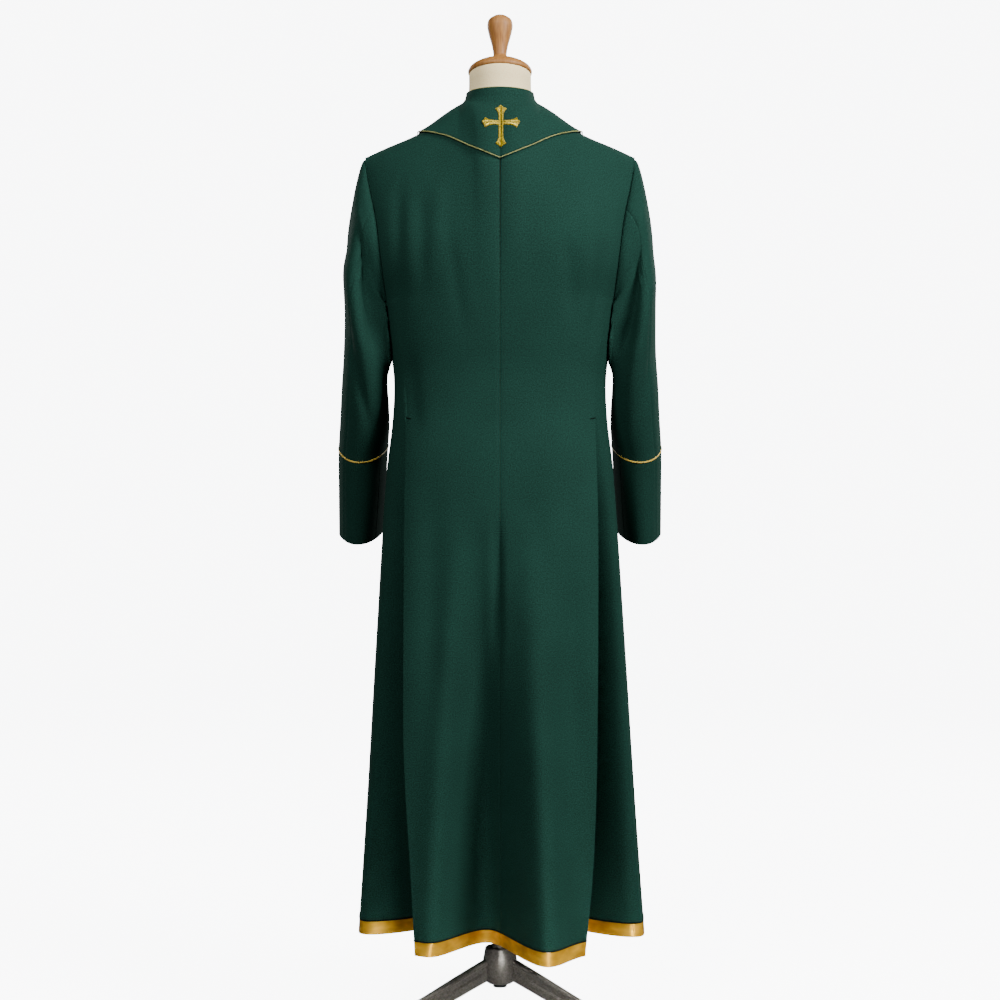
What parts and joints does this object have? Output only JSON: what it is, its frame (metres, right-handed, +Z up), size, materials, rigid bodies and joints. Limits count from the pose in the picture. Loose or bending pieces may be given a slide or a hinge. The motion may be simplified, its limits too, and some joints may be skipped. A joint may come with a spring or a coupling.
{
  "type": "cassock on a dress form",
  "caption": "Long cassock with a pointed turned-down collar, deep cuffs, side pleats and a satin hem band, on a limbless dress form with a tripod stand.",
  "frame": {"origin": "on the floor under the axis of the pole, in the middle of the stand", "axes": "+Z up along the pole; the back of the cassock faces -Y and its front +Y; +X is the side of the right sleeve"},
  "size_m": [0.5492, 0.5504, 1.7125],
  "materials": {
    "wool_twill": "dark green wool twill, matte with a slight sheen",
    "gold_satin": "gold satin band",
    "gold_piping": "pale gold covered cord",
    "gold_embroidery": "padded satin stitch in gold thread",
    "linen": "natural linen cover",
    "turned_wood": "turned and oiled",
    "grey_metal": "cast, grey, satin",
    "rubber_foot": "moulded"
  },
  "bodies": {
    "root": {"back_left": "wool_twill", "side_left": "wool_twill", "front_left": "wool_twill", "sleeve_upper_left": "wool_twill", "sleeve_under_left": "wool_twill", "cuff_left": "wool_twill", "hem_band_back_left": "gold_satin", "hem_band_side_left": "gold_satin", "hem_band_front_left": "gold_satin", "cuff_piping_left": "gold_piping", "back_right": "wool_twill", "side_right": "wool_twill", "front_right": "wool_twill", "sleeve_upper_right": "wool_twill", "sleeve_under_right": "wool_twill", "cuff_right": "wool_twill", "hem_band_back_right": "gold_satin", "hem_band_side_right": "gold_satin", "hem_band_front_right": "gold_satin", "cuff_piping_right": "gold_piping", "collar_fall": "wool_twill", "collar_stand": "wool_twill", "collar_piping": "gold_piping", "collar_cross": "gold_embroidery", "form_torso": "linen", "neck_cap": "turned_wood", "neck_handle": "turned_wood", "pole": "grey_metal", "base_hub": "grey_metal", "leg_1": "grey_metal", "foot_1": "rubber_foot", "leg_2": "grey_metal", "foot_2": "rubber_foot", "leg_3": "grey_metal", "foot_3": "rubber_foot"}
  },
  "joints": []
}
